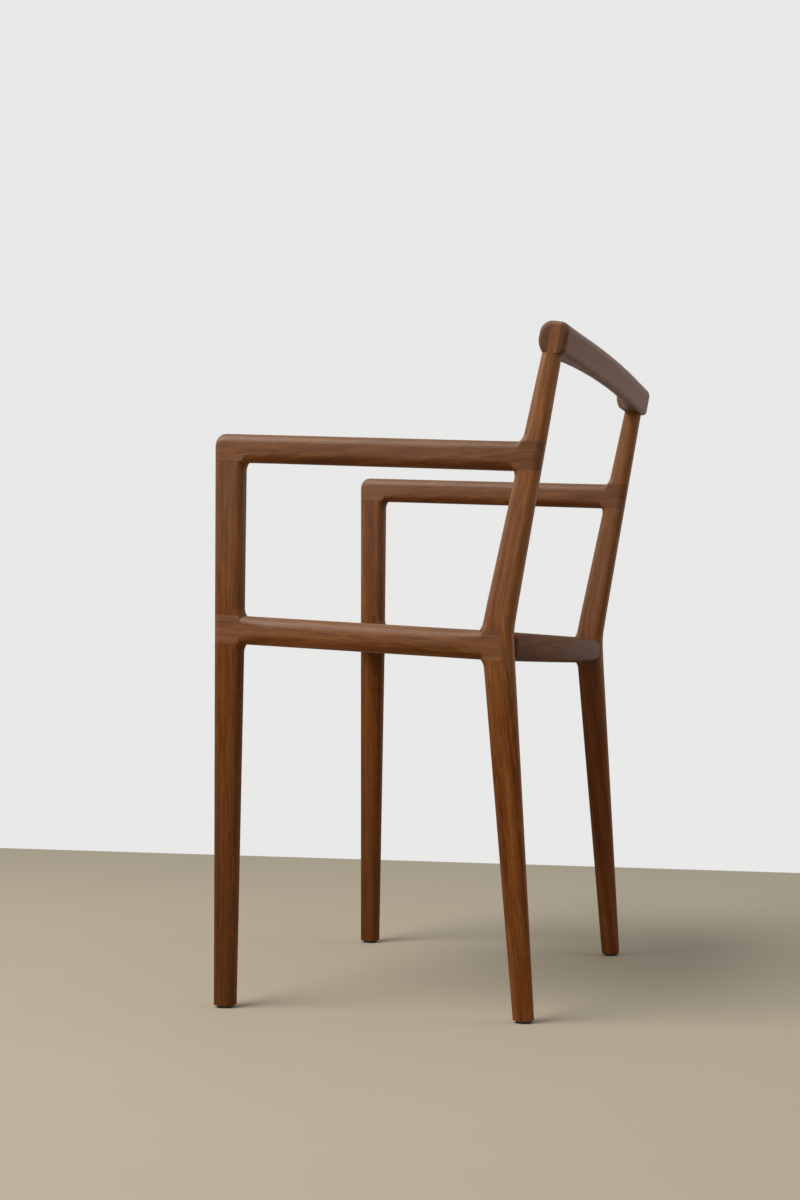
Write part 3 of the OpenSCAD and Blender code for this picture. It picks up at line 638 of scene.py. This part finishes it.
def makeSeatPad():
    pad = padBody()
    stuff(pad)
    print("seat pad stuffed,", len(pad.data.vertices), "points")
    openUnderside(pad)
    smoother = pad.modifiers.new("smoother", "SUBSURF")
    smoother.levels = 1
    smoother.render_levels = 1
    thicker = pad.modifiers.new("clothThickness", "SOLIDIFY")
    thicker.thickness = seatPad["clothThickness"]
    thicker.offset = -1
    bakeModifiers(pad)
    for face in pad.data.polygons:
        face.use_smooth = True
    dress(pad.data, clothMaterial("seat_cloth"))
    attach(pad, "root")
    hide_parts("seat_foam", "seat_cover")


makeSeatPad()
print("seat pad made")

# plain pale floor, cut off along a straight line beyond the chair
floorLook = {
    "colour": (0.435, 0.376, 0.280), "deeper": 0.94, "cloudsPerMetre": 3.0, "roughness": 0.9,
    "shine": 0.2, "radius": 6.0, "sides": 96,
    "endNear": (-1.313, -1.395), "endFar": (-1.344, 0.307),
}


def makeFloor():
    bm = bmesh.new()
    bmesh.ops.create_circle(bm, cap_ends=True, segments=floorLook["sides"], radius=floorLook["radius"])
    near, far = Vector((*floorLook["endNear"], 0)), Vector((*floorLook["endFar"], 0))
    run = (far - near).normalized()
    away = Vector((-run.y, run.x, 0))
    everything = bm.verts[:] + bm.edges[:] + bm.faces[:]
    bmesh.ops.bisect_plane(bm, geom=everything, plane_co=near, plane_no=away, clear_outer=True)
    floor = addPiece("floor", meshFrom(bm, "floor"))
    b = newMaterial("pale_floor")
    cloud = b.noise(b.place(), floorLook["cloudsPerMetre"], 3.0)
    deep = [c * floorLook["deeper"] for c in floorLook["colour"]]
    dress(floor.data, b.surface({
        "Base Color": b.blendColour(cloud, floorLook["colour"], deep),
        "Roughness": floorLook["roughness"],
        "Specular IOR Level": floorLook["shine"],
    }))


makeFloor()

# soft daylight from above the chair's front left, a faint glow from behind, and a pale room
light = {
    "world": (0.93, 0.95, 0.98), "worldStrength": 0.42, "backdrop": (0.81, 0.812, 0.805),
    "target": (0, 0, 0.42),
    "window": {"from": (1.7, -1.6, 2.9), "size": 2.6, "power": 120, "colour": (1.0, 0.985, 0.96)},
    "back": {"from": (-0.6, 2.8, 1.9), "size": 2.0, "power": 14, "colour": (0.95, 0.97, 1.0)},
}


def aimAt(item, spot, looking):
    item.location = spot
    item.rotation_euler = looking.to_track_quat("-Z", "Y").to_euler()


def makeLamp(name, facts):
    lamp = bpy.data.lights.new(name, "AREA")
    lamp.shape = "DISK"
    lamp.size = facts["size"]
    lamp.energy = facts["power"]
    lamp.color = facts["colour"]
    aimAt(addPiece(name, lamp), facts["from"], Vector(light["target"]) - Vector(facts["from"]))


makeLamp("window_light", light["window"])
makeLamp("back_light", light["back"])


# the room lights the chair, and an even pale backdrop is what the camera and reflections see
def makeRoom():
    scene.world = bpy.data.worlds.new("room")
    b = Bench(scene.world)
    rays = [b.node("ShaderNodeLightPath", None, None, ray + " Ray")
            for ray in ("Is Camera", "Is Glossy", "Is Transmission")]
    seen = b.sum("MAXIMUM", b.sum("MAXIMUM", rays[0], rays[1]), rays[2])
    room = b.node("ShaderNodeBackground", None,
                  {"Color": (*light["world"], 1), "Strength": light["worldStrength"]})
    backdrop = b.node("ShaderNodeBackground", None, {"Color": (*light["backdrop"], 1)})
    mixed = b.node("ShaderNodeMixShader", None, {0: seen, 1: room, 2: backdrop})
    b.node("ShaderNodeOutputWorld", None, {"Surface": mixed})


makeRoom()
scene.view_settings.view_transform = "Standard"
print("floor, lamps and room made")

# the photograph's viewpoint: a little under the seat's height, behind the chair's left side
viewpoint = {
    "place": (2.21846, 0.640495, 0.38873), "yaw": 0.3081, "pitch": 0.0378, "lens": 54.73, "sensor": 36,
}
camera = addPiece("camera", bpy.data.cameras.new("camera"))
camera.data.lens = viewpoint["lens"]
camera.data.sensor_width = viewpoint["sensor"]
level = math.cos(viewpoint["pitch"])
looking = Vector((-math.cos(viewpoint["yaw"]) * level, -math.sin(viewpoint["yaw"]) * level,
                  math.sin(viewpoint["pitch"])))
aimAt(camera, viewpoint["place"], looking)
scene.camera = camera
